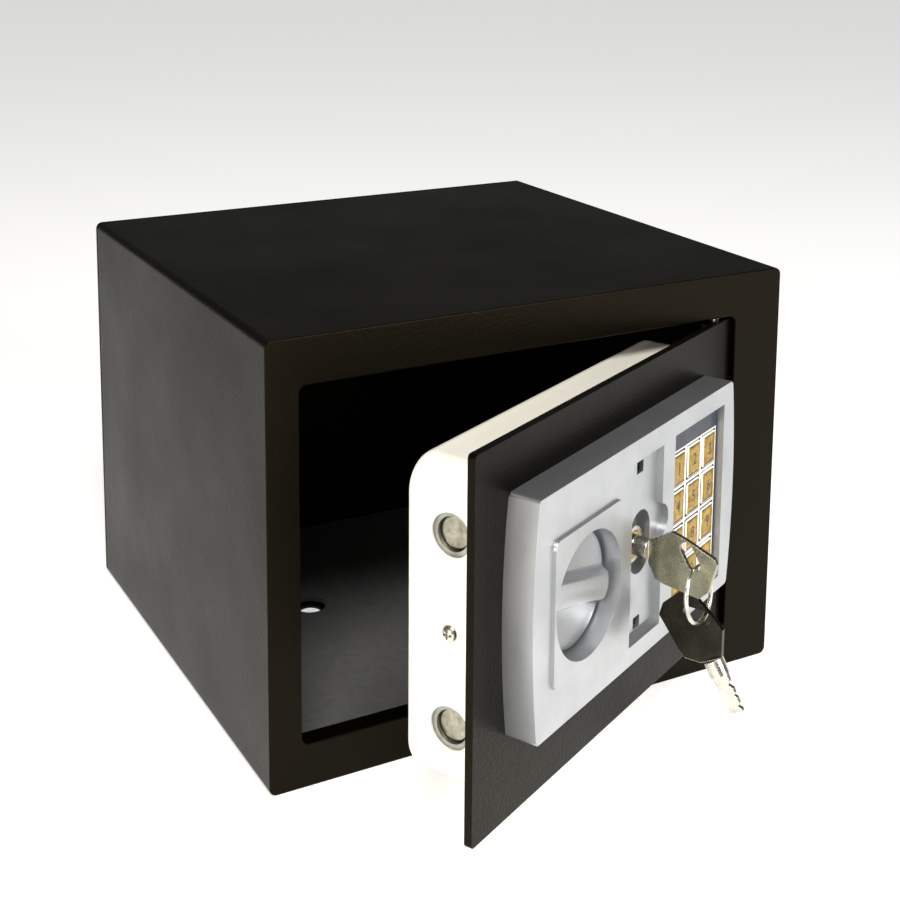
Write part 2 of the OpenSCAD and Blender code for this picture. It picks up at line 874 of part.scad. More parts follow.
module door_key() {
    color("#c8c6bd") on_door()
        translate([lock_x, front_y - bow_d, lock_z])
            key();
}

// Ring of wire that hangs in the slot of the key
module key_ring() {
    color("#c8c6bd") on_door()
        translate([lock_x, front_y - ring_y, ring_top])
            rotate([90 - ring_lean, 0, 0])
                translate([0, -ring_d/2, 0])
                    rotate_extrude()
                        translate([ring_d/2, 0])
                            circle(d = ring_wire, $fn = 24);
}

// The second key hangs from the ring by its own slot, other face out
module spare_key() {
    color("#c8c6bd") on_door()
        translate([lock_x + spare_side, front_y - spare_y, spare_z])
            rotate([spare_turn - 180, 0, 0])
                mirror([0, 0, 1])
                    translate([0, spare_u, -spare_v])
                        key();
}

// Solenoid ---------------------------------------------------------------

module solenoid_frame() {
    color("#8f8f8a") on_door()
        difference() {
            union() {
                slab(plate_t, plate_t + sol_t)
                    rect(sol_x - sol_w/2, sol_z0, sol_x + sol_w/2, sol_z0 + sol_h);
                slab(plate_t + sol_t, sol_back)
                    for (z = [sol_z0, sol_z0 + sol_h - sol_t])
                        rect(sol_x - sol_w/2, z, sol_x + sol_w/2, z + sol_t);
            }
            rod_z(sol_x, sol_b, plunger_d + 2*slip, sol_z0 + sol_h - sol_t - cut, sol_z0 + sol_h + cut);
        }
}

module solenoid_coil() {
    color("#7a3b22") on_door()
        difference() {
            rod_z(sol_x, sol_b, coil_d, sol_z0 + sol_t, sol_z0 + sol_h - sol_t);
            rod_z(sol_x, sol_b, plunger_d + 2*fit, plunger_z0 - cut, sol_z0 + sol_h);
        }
}

module solenoid_plunger() {
    color("#c9c9c4") on_door() {
        rod_z(sol_x, sol_b, plunger_d, plunger_z0, plunger_z1);
        difference() {
            rod_z(sol_x, sol_b, collar_d, collar_z, collar_z + 1);
            rod_z(sol_x, sol_b, plunger_d, collar_z - cut, collar_z + 2*cut);
        }
    }
}

module plunger_spring() {
    color("#9a9a96") on_door()
        difference() {
            rod_z(sol_x, sol_b, collar_d - slip, sol_z0 + sol_h, collar_z);
            rod_z(sol_x, sol_b, plunger_d + slip, sol_z0 + sol_h - cut, collar_z + cut);
        }
}

// Batteries, reset button and wiring --------------------------------------

module battery_box() {
    x1 = box_x0 + box_in + 2*box_wall;
    color("#1c1c1c") on_door()
        difference() {
            slab(box_floor - box_wall, pan_depth - pan_sheet)
                rect(box_x0, box_mid - box_h/2 - box_wall, x1, box_mid + box_h/2 + box_wall);
            slab(box_floor, pan_depth)
                rect(box_x0 + box_wall, box_mid - box_h/2, x1 - box_wall, box_mid + box_h/2);
        }
}

module batteries() {
    x0 = box_x0 + box_wall + (box_in - cell_l)/2;
    color("#8a6a2c") on_door()
        for (i = [0 : cells - 1])
            rod_x(cell_b, box_mid + (i - (cells - 1)/2)*cell_pitch, cell_d, x0, x0 + cell_l);
}

module battery_cover() {
    x0 = box_x0 + box_wall;
    z0 = box_mid - box_h/2;
    color("#ddd6c2") on_door() {
        slab(pan_depth - pan_sheet + slip, pan_depth + 0.1)
            rect(x0 + slip, z0 + slip, x0 + box_in - slip, z0 + box_h - slip);
        slab(pan_depth + 0.1, pan_depth + 0.1 + cover_t)
            rrect(x0 - cover_lip, z0 - cover_lip, x0 + box_in + cover_lip, z0 + box_h + cover_lip, cover_lip);
    }
}

module reset_switch() {
    color("#1c1c1c") on_door()
        difference() {
            slab(pan_depth - pan_sheet - switch_b, pan_depth - pan_sheet)
                rect(reset_x - switch_w/2, reset_z - switch_w/2, reset_x + switch_w/2, reset_z + switch_w/2);
            rod_y(reset_x, reset_z, reset_flange_d + 2*slip, pan_depth - pan_sheet - switch_b + sheet, pan_depth);
        }
}

module reset_button() {
    color("#b3261e") on_door() {
        rod_y(reset_x, reset_z, reset_flange_d, pan_depth - pan_sheet - 4, pan_depth - pan_sheet - slip);
        rod_y(reset_x, reset_z, reset_d, pan_depth - pan_sheet - slip, pan_depth + reset_travel);
    }
}

module wire_grommet() {
    color("#1c1c1c") on_door()
        difference() {
            rod_y(wire_x, wire_z, grommet_d, 0, plate_t);
            rod_y(wire_x, wire_z, wire_d + 2*fit, -cut, plate_t + cut);
        }
}

// Leads from the board through the plate to the solenoid and the battery box
module wire_loom() {
    color("#5a1414") on_door() {
        rod_y(wire_x, wire_z, wire_d, -board_face, lead_b);
        rod_z(wire_x, lead_b, wire_d, box_mid + box_h/2 + box_wall, wire_z);
        rod_x(wire_b, wire_z, wire_d, drop_x, wire_x);
        rod_z(drop_x, wire_b, wire_d, drop_z, wire_z);
        rod_x(wire_b, drop_z, wire_d, sol_x + coil_d/2, drop_x);
        for (p = [[wire_x, lead_b, wire_z], [drop_x, wire_b, wire_z], [drop_x, wire_b, drop_z]])
            translate([p[0], front_y + p[1], p[2]])
                sphere(d = wire_d, $fn = 32);
    }
}

body_shell();
frame_lip();
back_panel();
hinge_bushes();
floor_mat();
door_plate();
door_pan();
hinge_lugs();
hinge_pins();
bolt_guide();
pan_tab();
pan_screws();
knob_bush();
bezel();
bezel_screws();
keypad_plate();
keypad_board();
buzzer();
lock_body();
lock_nut();
solenoid_frame();
solenoid_coil();
battery_box();
batteries();
reset_switch();
wire_grommet();
wire_loom();
bolt_carriage();
locking_bolts();
knob();
knob_spindle();
knob_crank();
crank_screw();
solenoid_plunger();
plunger_spring();
lock_plug();
lock_cam();
cam_screw();
door_key();
key_ring();
spare_key();
battery_cover();
reset_button();
for (k = [0 : len(KEYCAPS) - 1])
    keycap(k);
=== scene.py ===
import json
import math

import bmesh
import bpy
from mathutils import Matrix, Vector


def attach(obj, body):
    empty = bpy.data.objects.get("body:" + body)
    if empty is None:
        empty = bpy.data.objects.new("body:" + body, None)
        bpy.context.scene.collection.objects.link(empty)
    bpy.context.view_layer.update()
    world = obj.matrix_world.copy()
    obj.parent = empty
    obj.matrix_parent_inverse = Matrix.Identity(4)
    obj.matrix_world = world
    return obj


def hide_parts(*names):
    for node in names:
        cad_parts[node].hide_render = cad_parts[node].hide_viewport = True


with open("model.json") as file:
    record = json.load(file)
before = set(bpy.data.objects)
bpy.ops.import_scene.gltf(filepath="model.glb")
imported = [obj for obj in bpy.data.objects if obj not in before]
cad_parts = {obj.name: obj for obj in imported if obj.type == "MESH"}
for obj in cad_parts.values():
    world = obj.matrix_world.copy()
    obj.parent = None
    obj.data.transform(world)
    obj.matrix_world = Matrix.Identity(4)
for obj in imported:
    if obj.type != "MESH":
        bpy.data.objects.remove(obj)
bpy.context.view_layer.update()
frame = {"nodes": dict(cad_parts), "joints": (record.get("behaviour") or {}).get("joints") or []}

scene = bpy.context.scene
MM = 0.001


# Camera ---------------------------------------------------------------------
# Low and to the left of the front, far enough back for a moderate long lens.

azimuth = math.radians(28.58)
elevation = math.radians(9.25)
roll = math.radians(0.43)
ahead = Vector((math.sin(azimuth) * math.cos(elevation),
                math.cos(azimuth) * math.cos(elevation),
                -math.sin(elevation)))
right = Vector((math.cos(azimuth), -math.sin(azimuth), 0))
up = right.cross(ahead)
tilted_right = right * math.cos(roll) + up * math.sin(roll)
tilted_up = up * math.cos(roll) - right * math.sin(roll)

camera = bpy.data.objects.new("camera", bpy.data.cameras.new("camera"))
scene.collection.objects.link(camera)
scene.camera = camera
camera.data.lens = 61.6
camera.data.shift_y = -0.356
camera.data.clip_start = 0.01
turn = Matrix((tilted_right, tilted_up, -ahead)).transposed().to_4x4()
camera.matrix_world = Matrix.Translation((-0.3049, -0.5867, 0.3306)) @ turn


# Finishes: what every section below uses ------------------------------------
# Colours are given as sRGB hex and turned to linear here.

def hex_colour(text):
    parts = [int(text[i:i + 2], 16) / 255 for i in (1, 3, 5)]
    return [p / 12.92 if p <= 0.04045 else ((p + 0.055) / 1.055) ** 2.4 for p in parts] + [1]


def add(tree, kind, settings=None, links=None):
    """Adds a node, sets its properties and sockets, and links what feeds it."""
    made = tree.nodes.new(kind)
    for key, value in (settings or {}).items():
        if isinstance(key, str) and hasattr(made, key):
            setattr(made, key, value)
        else:
            made.inputs[key].default_value = value
    for key, source in (links or {}).items():
        tree.links.new(source, made.inputs[key])
    return made


def surface(name, light, dark, patch, rough, grain, relief, metallic=0.0, sockets=None,
            stretch=(1, 1, 1)):
    """A finish whose colour drifts from light to dark over patches and whose skin has a grain.

    patch and grain are sizes in millimetres, rough is the range of roughness,
    relief is the depth of the grain in millimetres.
    """
    material = bpy.data.materials.new(name)
    material.use_nodes = True
    tree = material.node_tree
    shader = tree.nodes["Principled BSDF"]
    shader.inputs["Metallic"].default_value = metallic
    for key, value in (sockets or {}).items():
        shader.inputs[key].default_value = value
    place = add(tree, "ShaderNodeTexCoord").outputs["Object"]
    along = add(tree, "ShaderNodeMapping", {"Scale": stretch}, {"Vector": place}).outputs["Vector"]
    patches = add(tree, "ShaderNodeTexNoise", {"Scale": 1000 / patch, "Detail": 4.0, "Roughness": 0.6},
                  {"Vector": place}).outputs["Fac"]
    grains = add(tree, "ShaderNodeTexNoise", {"Scale": 1000 / grain, "Detail": 3.0, "Roughness": 0.55},
                 {"Vector": along}).outputs["Fac"]
    spread = add(tree, "ShaderNodeMapRange", {"From Min": 0.32, "From Max": 0.68},
                 {"Value": patches}).outputs["Result"]
    colour = add(tree, "ShaderNodeMix", {"data_type": "RGBA", 6: hex_colour(light), 7: hex_colour(dark)},
                 {0: spread}).outputs[2]
    both = add(tree, "ShaderNodeMath", {"operation": "ADD"}, {0: patches, 1: grains}).outputs[0]
    roughness = add(tree, "ShaderNodeMapRange",
                    {"From Min": 0.75, "From Max": 1.25, "To Min": rough[0], "To Max": rough[1]},
                    {"Value": both}).outputs["Result"]
    bump = add(tree, "ShaderNodeBump", {"Strength": 1.0, "Distance": relief * MM},
               {"Height": grains}).outputs["Normal"]
    tree.links.new(colour, shader.inputs["Base Color"])
    tree.links.new(roughness, shader.inputs["Roughness"])
    tree.links.new(bump, shader.inputs["Normal"])
    return material


def powder_grit(material, cell, height, paint):
    """Beads of powder that ran together in the oven: round cells on top of the finer skin."""
    tree = material.node_tree
    shader = tree.nodes["Principled BSDF"]
    skin = shader.inputs["Normal"].links[0].from_socket
    place = add(tree, "ShaderNodeTexCoord").outputs["Object"]
    beads = add(tree, "ShaderNodeTexVoronoi",
                {"feature": "SMOOTH_F1", "Scale": 1000 / cell, "Smoothness": 0.7},
                {"Vector": place}).outputs["Distance"]
    bump = add(tree, "ShaderNodeBump", {"invert": True, "Strength": 1.0, "Distance": height * MM},
               {"Height": beads, "Normal": skin}).outputs["Normal"]
    tree.links.new(bump, shader.inputs["Normal"])
    shader.inputs["Specular Tint"].default_value = hex_colour(paint)
    return material


def whole_copy(node, name, joined=True):
    """The CAD piece's mesh as one closed skin in a new object, with its flat faces joined if asked."""
    piece = bpy.data.objects.new(name, frame["nodes"][node].data.copy())
    scene.collection.objects.link(piece)
    piece.data.materials.clear()
    skin = bmesh.new()
    skin.from_mesh(piece.data)
    bmesh.ops.remove_doubles(skin, verts=skin.verts, dist=2e-6)
    if joined:
        bmesh.ops.dissolve_limit(skin, angle_limit=math.radians(0.5), verts=skin.verts, edges=skin.edges)
    skin.to_mesh(piece.data)
    skin.free()
    return piece


def applied(piece):
    """Makes the piece's modifiers part of its mesh."""
    bpy.context.view_layer.update()
    made = bpy.data.meshes.new_from_object(piece.evaluated_get(bpy.context.evaluated_depsgraph_get()))
    piece.modifiers.clear()
    piece.data = made
    return piece


def eased(piece, radius, segments=2, corner=32):
    """Rounds every edge sharper than corner and leaves the flats looking flat."""
    edge = piece.modifiers.new("edge", "BEVEL")
    edge.width = radius * MM
    edge.segments = segments
    edge.limit_method = "ANGLE"
    edge.angle_limit = math.radians(corner)
    edge.miter_outer = "MITER_ARC"
    applied(piece)
    piece.data.shade_smooth()
    piece.data.set_sharp_from_angle(angle=math.radians(corner + 6))
    flats = piece.modifiers.new("flats", "WEIGHTED_NORMAL")
    flats.keep_sharp = True
    return applied(piece)


def finished(piece, body, slot, material, *nodes):
    """Gives a piece its finish, its body and the CAD pieces that it stands for."""
    if material is not None:
        piece.data.materials.clear()
        piece.data.materials.append(material)
    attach(piece, body)
    if nodes:
        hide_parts(*nodes)
    return piece


def repaint(material, *nodes):
    """Puts a better finish on a CAD piece that keeps its shape."""
    for name in nodes:
        target = frame["nodes"][name]
        if not target.data.materials:
            target.data.materials.append(material)
        for place in target.material_slots:
            place.link = "OBJECT"
            place.material = material


# Cabinet --------------------------------------------------------------------
# Folded sheet steel with the frame in one piece with the walls, the back let in and welded.
# Black powder coat with a fine grit, which softens every fold.

powder_coat = powder_grit(
    surface("black_powder_coat", "#050403", "#030302", 60, (0.3, 0.42), 0.5, 0.04,
            sockets={"Specular IOR Level": 0.09}),
    1.1, 0.08, "#ffe9b8")
fold_radius = 1.2
for node_name, radius in (("body_shell", fold_radius), ("frame_lip", 0.35), ("back_panel", 0.5)):
    wall = eased(whole_copy(node_name, node_name + "_folded"), radius, 3)
    finished(wall, "cabinet", "black_powder_coat", powder_coat, node_name)

zinc = surface("zinc_plated_steel", "#a9aaa6", "#85867f", 5, (0.32, 0.48), 0.35, 0.01, metallic=1.0)
repaint(zinc, "hinge_bushes")
felt = surface("needle_felt", "#3b3b3e", "#232326", 3, (0.9, 1.0), 0.35, 0.25,
               sockets={"Sheen Weight": 0.4, "Sheen Roughness": 0.6})
mat_sheet = eased(whole_copy("floor_mat", "floor_mat_felt"), 0.5)
finished(mat_sheet, "cabinet", "grey_felt", felt, "floor_mat")


# Door plate -----------------------------------------------------------------
# Flame-cut plate with the same coat. Its pins and lugs are welded to the back.

out = Vector(next(j for j in frame["joints"] if j["name"] == "knob_turn")["axis"]).normalized()
hinge = Vector(next(j for j in frame["joints"] if j["name"] == "door_hinge")["pos_m"])
opening_turn = Matrix.Rotation(math.atan2(out.x, -out.y), 4, "Z")
door_open = Matrix.Translation(hinge) @ opening_turn @ Matrix.Translation(-hinge)
door_shut = door_open.inverted()


def shut_box(node):
    """Lowest and highest corner of a CAD piece with the door swung shut, where it lies square."""
    points = [door_shut @ v.co for v in frame["nodes"][node].data.vertices]
    return (Vector([min(p[i] for p in points) for i in range(3)]),
            Vector([max(p[i] for p in points) for i in range(3)]))


plate = eased(whole_copy("door_plate", "door_plate_cut"), 0.45, 3)
finished(plate, "door", "black_powder_coat", powder_coat, "door_plate")
repaint(powder_coat, "hinge_lugs")
nickel = surface("nickel_plate", "#d9d6cd", "#b4afa3", 6, (0.16, 0.34), 0.5, 0.006, metallic=1.0)
repaint(nickel, "hinge_pins")


# Inner pan ------------------------------------------------------------------
# Drawn steel tray with round corners, enamelled cream. It is open towards the plate.

def outline(low, high, radius, inset, steps=10):
    """Points round a rectangle in X and Z with round corners, drawn in by inset."""
    r = max(radius - inset, 0.0002)
    x0, x1, z0, z1 = low.x + inset, high.x - inset, low.z + inset, high.z - inset
    points = []
    for cx, cz, start in ((x1 - r, z1 - r, 0), (x0 + r, z1 - r, 90),
                          (x0 + r, z0 + r, 180), (x1 - r, z0 + r, 270)):
        for i in range(steps + 1):
            a = math.radians(start + 90 * i / steps)
            points.append((cx + r * math.cos(a), cz + r * math.sin(a)))
    return points


def lofted(name, rings, close_first=True, close_last=True):
    """Skin through rings of (x, y, z) points, with flat ends where asked."""
    skin = bmesh.new()
    rows = [[skin.verts.new(p) for p in ring] for ring in rings]
    for one, other in zip(rows, rows[1:]):
        for i in range(len(one)):
            j = (i + 1) % len(one)
            skin.faces.new((one[i], one[j], other[j], other[i]))
    if close_first:
        skin.faces.new(rows[0][::-1])
    if close_last:
        skin.faces.new(rows[-1])
    bmesh.ops.recalc_face_normals(skin, faces=skin.faces)
    mesh = bpy.data.meshes.new(name)
    skin.to_mesh(mesh)
    skin.free()
    piece = bpy.data.objects.new(name, mesh)
    scene.collection.objects.link(piece)
    return piece


def cut(piece, tools):
    """Takes the tools' shapes out of the piece and removes them."""
    for tool in tools:
        saw = piece.modifiers.new("cut", "BOOLEAN")
        saw.operation = "DIFFERENCE"
        saw.solver = "EXACT"
        saw.object = tool
    applied(piece)
    for tool in tools:
        bpy.data.objects.remove(tool)
    return piece


def block(low, high):
    """A square cutter from one corner to the other."""
    ring = [(low[0], low[2]), (high[0], low[2]), (high[0], high[2]), (low[0], high[2])]
    return lofted("block", [[(x, y, z) for x, z in ring] for y in (low[1], high[1])])


def round_bar(axis, centre, radius, start, stop, sides=64):
    """A round cutter along X or Y through a centre."""
    rings = []
    for reach in (start, stop):
        ring = []
        for i in range(sides):
            a = 2 * math.pi * i / sides
            u, v = radius * math.cos(a), radius * math.sin(a)
            ring.append((reach, centre[1] + u, centre[2] + v) if axis == "X"
                        else (centre[0] + u, reach, centre[2] + v))
        rings.append(ring)
    return lofted("round_bar", rings)


def open_up(piece):
    """Turns a piece that was made on the shut door to where the open door is."""
    piece.data.transform(door_open)
    piece.data.update()
    return piece


enamel = surface("cream_enamel", "#fbf8ee", "#f4f0e2", 40, (0.28, 0.4), 2.2, 0.02,
                 sockets={"Coat Weight": 0.25, "Coat Roughness": 0.2})
low, high = shut_box("door_pan")
pan_sheet = 1.5 * MM
pan_corner = 12 * MM
draw_radius = 5 * MM
steps = 6
outside = [(low.y, 0.0)]
outside += [(high.y - draw_radius * (1 - math.sin(math.radians(90 * i / steps))),
             draw_radius * (1 - math.cos(math.radians(90 * i / steps)))) for i in range(steps + 1)]
inside = [(y - (pan_sheet if i == len(outside) - 1 else pan_sheet * i / len(outside)), inset + pan_sheet)
          for i, (y, inset) in enumerate(outside)]
inside[0] = (low.y, pan_sheet)
rings = [[(x, y, z) for x, z in outline(low, high, pan_corner, inset)] for y, inset in outside]
hollow = [[(x, y, z) for x, z in outline(low, high, pan_corner, inset)] for y, inset in inside]
pan = lofted("door_pan_drawn", hollow[::-1] + rings, close_first=True, close_last=True)
skin = bmesh.new()
skin.from_mesh(pan.data)
bmesh.ops.recalc_face_normals(skin, faces=skin.faces)
skin.to_mesh(pan.data)
skin.free()

bolt_low, bolt_high = shut_box("locking_bolts")
bolt_r = (bolt_high.y - bolt_low.y) / 2
bolt_y = (bolt_high.y + bolt_low.y) / 2
bolt_holes = 15.5 * MM / 2
screw_low, screw_high = shut_box("pan_screws")
screw_z = (screw_low.z + screw_high.z) / 2
box_low, box_high = shut_box("battery_box")
wall = 1.5 * MM
button_low, button_high = shut_box("reset_button")
button_mid = (button_low + button_high) / 2
tools = [round_bar("X", (0, bolt_y, z), bolt_holes, low.x - 0.004, low.x + 0.004)
         for z in (bolt_low.z + bolt_r, bolt_high.z - bolt_r)]
tools += [block((box_low.x + wall, high.y - 0.004, box_low.z + wall),
                (box_high.x - wall, high.y + 0.004, box_high.z - wall)),
          round_bar("Y", button_mid, 2.85 * MM, high.y - 0.004, high.y + 0.004)]
cut(pan, tools)
eased(open_up(pan), 0.3, 2, 40)
finished(pan, "door", "cream_paint", enamel, "door_pan")

cream_abs = surface("cream_abs", "#e6dfca", "#dcd3ba", 20, (0.4, 0.5), 0.8, 0.02)
cover = eased(whole_copy("battery_cover", "battery_cover_moulded"), 0.5, 3)
finished(cover, "battery_cover", "cream_abs", cream_abs, "battery_cover")
red_abs = surface("red_abs", "#c0281c", "#a01e15", 3, (0.25, 0.35), 0.6, 0.01)
button = eased(whole_copy("reset_button", "reset_button_moulded"), 0.4, 3)
finished(button, "reset_button", "red_abs", red_abs, "reset_button")


# Locking bolts --------------------------------------------------------------
# Turned steel rod, nickel plated, chamfered at the end and faced on the lathe.

worn_nickel = surface("worn_nickel_plate", "#a9a598", "#7f7a6a", 3, (0.26, 0.45), 0.4, 0.01, metallic=1.0)
bolts = eased(whole_copy("locking_bolts", "locking_bolts_turned"), 0.9, 3, 40)
finished(bolts, "bolts", "nickel", worn_nickel, "locking_bolts")
repaint(zinc, "bolt_carriage", "bolt_guide", "pan_tab", "solenoid_frame", "knob_crank", "lock_cam")

# Pan head screws with a cross recess, one in each end of the pan.
heads = whole_copy("pan_screws", "pan_screws_headed")
screw_y = (screw_low.y + screw_high.y) / 2
slots = []
for x0, x1 in ((screw_low.x - 0.001, screw_low.x + 0.0013), (screw_high.x - 0.0013, screw_high.x + 0.001)):
    slots.append(block((x0, screw_y - 0.0017, screw_z - 0.0004), (x1, screw_y + 0.0017, screw_z + 0.0004)))
    slots.append(block((x0, screw_y - 0.0004, screw_z - 0.0017), (x1, screw_y + 0.0004, screw_z + 0.0017)))
for slot_tool in slots:
    open_up(slot_tool)
cut(heads, slots)
eased(heads, 0.12, 2, 40)
finished(heads, "door", "nickel", nickel, "pan_screws")


# Moulded front panel --------------------------------------------------------
# Injection moulded ABS with a silver metallic lacquer. Its corners and front edge are rounded,
# and the wells for knob, key and keypad are moulded in.

silver = surface("silver_lacquer_on_abs", "#b3b5b9", "#a6a8ac", 30, (0.28, 0.44), 0.4, 0.05, metallic=0.88)
panel = whole_copy("bezel", "front_panel_moulded", joined=False)
panel.data.transform(door_shut)
face_low, face_high = shut_box("bezel")
front = min(v.co.y for v in panel.data.vertices)
raised = 1.2 * MM
front_flat = front + raised
touch = 0.01 * MM
side_depth = 9 * MM
rim_margin = 4.2 * MM
bow_margin = 7.5 * MM
shape = bmesh.new()
shape.from_mesh(panel.data)


def bevelled(shape, wanted, radius, segments):
    """Rounds the edges of a mesh that a test picks out."""
    edges = [e for e in shape.edges if len(e.link_faces) == 2 and wanted(e)]
    bmesh.ops.bevel(shape, geom=edges, offset=radius * MM, segments=segments, profile=0.5,
                    affect="EDGES", clamp_overlap=True)


def on_corner(e):
    """The four outer corners that run from the plate to the front face."""
    a, b = e.verts
    return (abs(a.co.y - b.co.y) > side_depth and abs(a.co.x - b.co.x) < touch
            and min(abs(a.co.z - face_low.z), abs(a.co.z - face_high.z)) < touch)


def on_rim(e):
    """The outer edge of the front face."""
    a, b = e.verts
    if abs(a.co.y - front_flat) > touch or abs(b.co.y - front_flat) > touch:
        return False
    side = [f for f in e.link_faces if abs(f.normal.y) < 0.2]
    if not side:
        return False
    middle = (a.co + b.co) / 2
    return (min(abs(middle.z - face_low.z), abs(middle.z - face_high.z)) < rim_margin
            or min(abs(middle.x - face_low.x), abs(middle.x - face_high.x)) < bow_margin)


bevelled(shape, on_corner, 1.2, 4)
bevelled(shape, on_rim, 0.7, 3)
shape.to_mesh(panel.data)
shape.free()
open_up(panel)
eased(panel, 0.35, 2, 30)
finished(panel, "door", "silver_abs", silver, "bezel")


# Knob -----------------------------------------------------------------------
# Moulded ABS in the same lacquer: a low dished disc with a crowned grip bar across it.

knob_low, knob_high = shut_box("knob")
knob_mid = (knob_low + knob_high) / 2
knob_r = (knob_high.x - knob_low.x) / 2
knob_front = knob_low.y
knob_rear = knob_front + 6 * MM
grip_half = 5.3 * MM
grip_tilt = math.radians(-14)
dish_r = knob_r - 1.6 * MM
dish_deep = 5.3 * MM
rim_deep = 4 * MM


def eased_step(x):
    x = min(max(x, 0.0), 1.0)
    return x * x * (3 - 2 * x)


def knob_height(u, v):
    """How far the knob's face lies behind its front, at u along the grip and v across it."""
    r = math.hypot(u, v)
    bowl = rim_deep + (dish_deep - rim_deep) * (1 - (r / dish_r) ** 2) if r < dish_r else rim_deep
    half = grip_half * (1 + 0.12 * (u / dish_r) ** 2)
    bar = 1 - eased_step((abs(v) - half) / (2.4 * MM) + 0.5)
    bar *= 1 - eased_step((r - knob_r + 2.2 * MM) / (1.9 * MM))
    crown = 0.2 * MM + 0.9 * MM * (v / half) ** 2
    return bowl * (1 - bar) + crown * bar


around, inward = 180, 72
shape = bmesh.new()
rows = []
for j in range(1, inward + 1):
    r = (knob_r - 0.5 * MM) * j / inward
    ring = []
    for i in range(around):
        a = 2 * math.pi * i / around
        u, v = r * math.cos(a), r * math.sin(a)
        x = u * math.cos(grip_tilt) - v * math.sin(grip_tilt)
        z = u * math.sin(grip_tilt) + v * math.cos(grip_tilt)
        ring.append(shape.verts.new((knob_mid.x + x, knob_front + knob_height(u, v), knob_mid.z + z)))
    rows.append(ring)
centre = shape.verts.new((knob_mid.x, knob_front + knob_height(0, 0), knob_mid.z))
for i in range(around):
    shape.faces.new((centre, rows[0][i], rows[0][(i + 1) % around]))
for grow, y in ((0.15, rim_deep + 0.2 * MM), (0.0, rim_deep + 0.6 * MM), (0.0, knob_rear - knob_front)):
    r = knob_r - grow * MM
    rows.append([shape.verts.new((knob_mid.x + r * math.cos(2 * math.pi * i / around + grip_tilt),
                                  knob_front + y,
                                  knob_mid.z + r * math.sin(2 * math.pi * i / around + grip_tilt)))
                 for i in range(around)])
hub_r = 6 * MM
for r, y in ((hub_r, knob_rear), (hub_r, knob_high.y)):
    rows.append([shape.verts.new((knob_mid.x + r * math.cos(2 * math.pi * i / around + grip_tilt), y,
                                  knob_mid.z + r * math.sin(2 * math.pi * i / around + grip_tilt)))
                 for i in range(around)])
for one, other in zip(rows, rows[1:]):
    for i in range(around):
        j = (i + 1) % around
        shape.faces.new((one[i], one[j], other[j], other[i]))
shape.faces.new(rows[-1])
bmesh.ops.recalc_face_normals(shape, faces=shape.faces)
mesh = bpy.data.meshes.new("knob_moulded")
shape.to_mesh(mesh)
shape.free()
mesh.shade_smooth()
mesh.set_sharp_from_angle(angle=math.radians(50))
knob = bpy.data.objects.new("knob_moulded", mesh)
scene.collection.objects.link(knob)
open_up(knob)
finished(knob, "knob", "silver_abs", silver, "knob")
nylon = surface("moulded_nylon", "#ddd8c9", "#d2ccba", 8, (0.4, 0.5), 0.6, 0.01)
repaint(nylon, "knob_bush")
repaint(nickel, "knob_spindle", "crank_screw", "cam_screw", "bezel_screws")


# Keypad ---------------------------------------------------------------------
# A printed film with twelve windows. Each key is a moulded cap with a pale rim
# and a domed gold face, printed with a plain digit.

film = surface("printed_film", "#1b2238", "#141a2b", 12, (0.3, 0.4), 0.5, 0.01)
film_sheet = eased(whole_copy("keypad_plate", "keypad_film"), 0.12, 1)
finished(film_sheet, "door", "keypad_film", film, "keypad_plate")

white_print = surface("white_screen_print", "#eeede6", "#dedcd2", 6, (0.45, 0.6), 0.4, 0.008)
keys = ["keycap_" + k for k in ("1", "2", "3", "4", "5", "6", "7", "8", "9", "star", "0", "hash")]
signs = {"keycap_star": "*", "keycap_hash": "#"}
key_boxes = [shut_box(k) for k in keys]
film_low = shut_box("keypad_plate")[0]


def group(name, sockets):
    """An empty Geometry Nodes tree with named inputs for its sizes."""
    tree = bpy.data.node_groups.new(name, "GeometryNodeTree")
    tree.interface.new_socket("Geometry", in_out="INPUT", socket_type="NodeSocketGeometry")
    for label, value in sockets.items():
        kind = "NodeSocketMaterial" if value is None else "NodeSocketFloat"
        made = tree.interface.new_socket(label, in_out="INPUT", socket_type=kind)
        if value is not None:
            made.default_value = value
    tree.interface.new_socket("Geometry", in_out="OUTPUT", socket_type="NodeSocketGeometry")
    return tree


# White frames printed round the keys: one flat ring set on the middle of each key.
frame_tree = group("key_frames", {"Width": 12.6 * MM, "Height": 14.6 * MM, "Line": 0.8 * MM,
                                  "Raise": 0.06 * MM, "Ink": None})
entry = add(frame_tree, "NodeGroupInput")
outer = add(frame_tree, "GeometryNodeCurvePrimitiveQuadrilateral", {},
            {"Width": entry.outputs["Width"], "Height": entry.outputs["Height"]}).outputs["Curve"]
ribbon = add(frame_tree, "GeometryNodeCurvePrimitiveQuadrilateral", {},
             {"Width": entry.outputs["Line"], "Height": entry.outputs["Raise"]}).outputs["Curve"]
ring = add(frame_tree, "GeometryNodeCurveToMesh", {"Fill Caps": False},
           {"Curve": outer, "Profile Curve": ribbon}).outputs["Mesh"]
spots = add(frame_tree, "GeometryNodeInstanceOnPoints", {},
            {"Points": entry.outputs["Geometry"], "Instance": ring})
solid = add(frame_tree, "GeometryNodeRealizeInstances", {}, {"Geometry": spots.outputs["Instances"]})
inked = add(frame_tree, "GeometryNodeSetMaterial", {},
            {"Geometry": solid.outputs[0], "Material": entry.outputs["Ink"]})
add(frame_tree, "NodeGroupOutput", {}, {"Geometry": inked.outputs[0]})


